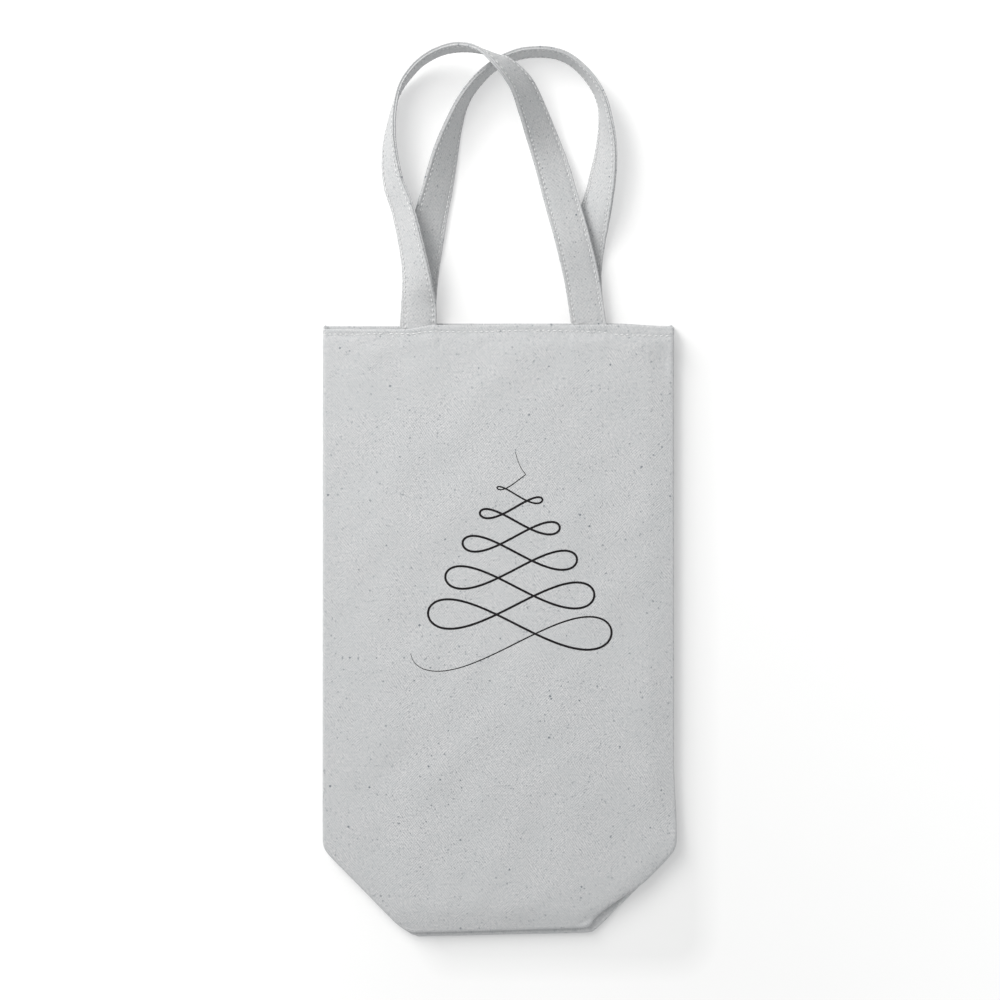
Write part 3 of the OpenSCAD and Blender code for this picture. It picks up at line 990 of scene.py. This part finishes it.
def base_blend(piece):
    """Bakes the front cloth's placement into its mesh; the mouth_open axis is read but the cloth is
    not bent.
    """
    anchor, along = hinge_axis("mouth_open")
    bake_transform(piece)


front_cloth = middle_sheet("front_cloth", "front", canvas)
base_blend(front_cloth)
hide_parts("front_panel", "front_foot_panel", "front_hem")

back_cloth = middle_sheet("back_cloth", "back", canvas)
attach(back_cloth, "root")
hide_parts("back_panel", "back_hem")

for layer, parent in PARENT.items():
    for word, side in SIDES.items():
        body = f"{layer}_{word}_side"
        piece = side_sheet(f"{layer}_{word}_side_cloth", layer, side, canvas)
        fold_blend(piece)
        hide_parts(f"{body}_panel", f"{body}_wall", f"{body}_hem")

for layer in ("front", "back"):
    piece = base_sheet(f"base_{layer}_cloth", layer, canvas)
    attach(piece, "root")
    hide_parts(f"base_{layer}_half", f"{layer}_corner_gussets")

# hem stitches, outside and inside
for layer, parent in PARENT.items():
    reach = FOLD_TOP - 1.0
    rows = hem_stitches(-reach, reach, layer, False) + hem_stitches(-reach, reach, layer, True)
    piece = stitch_mesh(f"{layer}_hem_thread", rows, thread)
    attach(piece, parent)
    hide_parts(f"{layer}_hem_stitching")
    for word, side in SIDES.items():
        body = f"{layer}_{word}_side"
        start, end = sorted((side * (FOLD_TOP + 0.5), side * (SEAM - 1.5)))
        rows = hem_stitches(start, end, layer, False) + hem_stitches(start, end, layer, True)
        piece = stitch_mesh(f"{body}_hem_thread", rows, thread)
        fold_blend(piece)
        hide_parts(f"{layer}_{word}_hem_stitching")

# seams inside the bag
(x0, y0, z0), (x1, y1, z1) = box_mm("base_seam")
middle = (y0 + y1) / 2
base_seam = seam_strip("base_seam_edge", [((x0, middle, BAG_T / 2), (x1, middle, BAG_T / 2),
                                           (0, 1, 0), y1 - y0, z1 - z0)], canvas)
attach(base_seam, "root")
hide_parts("base_seam")
for layer in ("front", "back"):
    piece = seam_strip(f"{layer}_corner_seam_edges", corner_strips(f"{layer}_corner_seams"), canvas)
    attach(piece, "root")
    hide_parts(f"{layer}_corner_seams")
for word, side in SIDES.items():
    (x0, y0, z0), (x1, y1, z1) = box_mm(f"{word}_side_seam")
    middle, level = (x0 + x1) / 2 - side * 1.0, (z0 + z1) / 2
    piece = seam_strip(f"{word}_side_seam_edge", [((middle, y0, level), (middle, y1, level),
                                                   (1, 0, 0), x1 - x0, z1 - z0)], canvas)
    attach(piece, f"back_{word}_side")
    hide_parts(f"{word}_side_seam")

# straps
for layer, route, face in STRAPS:
    parent = PARENT[layer]
    anchor, along = hinge_axis(f"{layer}_handle_flop")
    start = (0, anchor.y - 0.001, anchor.z)
    end = (0, anchor.y + 0.0035, anchor.z)
    piece = strap_piece(f"{layer}_strap", route, face, strap_canvas)
    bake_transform(piece)
    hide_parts(f"{layer}_handle", f"{layer}_handle_ends")
    stitching = stitch_mesh(f"{layer}_strap_thread", strap_stitches(route, face), thread,
                           STRAP_THREAD_R)
    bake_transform(stitching)
    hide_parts(f"{layer}_handle_topstitch")

printed = print_piece("tree_ink", front_cloth, ink)
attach(printed, "front")
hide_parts("tree_print")


# the length along each strap is worked out here and not used further
for layer, route, face in STRAPS:
    length = strap_sections(route, face)[-1][4]

# ---- Floor, lights and camera ----


def floor(size=3.0, below=0.0002):
    points = [(x, y, -below) for x, y in ((-size, -size), (size, -size), (size, size),
                                          (-size, size))]
    piece = make_mesh("floor", [[c / MM for c in p] for p in points], [(0, 1, 2, 3)], None,
                      floor_material("floor"))


def area_light(name, height, bearing, distance, size, power, colour):
    """A round soft light aimed at the bag: height and bearing are its angles, in degrees."""
    data = bpy.data.lights.new(name, "AREA")
    data.shape = "DISK"
    data.size = size
    data.energy = power
    data.color = colour
    light = bpy.data.objects.new(name, data)
    target = Vector((0, -0.03, 0))
    up, round_ = math.radians(height), math.radians(bearing)
    away = Vector((math.cos(up) * math.cos(round_), math.cos(up) * math.sin(round_), math.sin(up)))
    light.location = target + distance * away
    light.rotation_euler = (-away).to_track_quat("-Z", "Y").to_euler()
    bpy.context.scene.collection.objects.link(light)


LAMP_COLOUR = (1.0, 0.992, 0.98)
floor()
area_light("near_light", 56, 135, distance=1.00, size=0.5, power=2.6, colour=LAMP_COLOUR)
area_light("key_light", 33, 129, distance=1.5, size=0.7, power=11.1, colour=LAMP_COLOUR)

world = bpy.data.worlds.new("studio")
world.use_nodes = True
world.node_tree.nodes["Background"].inputs["Color"].default_value = (0.99, 1.0, 1.0, 1)
world.node_tree.nodes["Background"].inputs["Strength"].default_value = 0.60
bpy.context.scene.world = world
bpy.context.scene.view_settings.view_transform = "Standard"

CAMERA_HEIGHT = 1.2
VIEW_WIDTH = 0.4986      # width of the view at half the bag's thickness
camera_data = bpy.data.cameras.new("camera")
camera_data.sensor_width = 36.0
camera_data.lens = 36.0 * (CAMERA_HEIGHT - BAG_T / 2 * MM) / VIEW_WIDTH
camera = bpy.data.objects.new("camera", camera_data)
camera.location = (0.0008, (TOP - 86.3) * MM, CAMERA_HEIGHT)
bpy.context.scene.collection.objects.link(camera)
bpy.context.scene.camera = camera
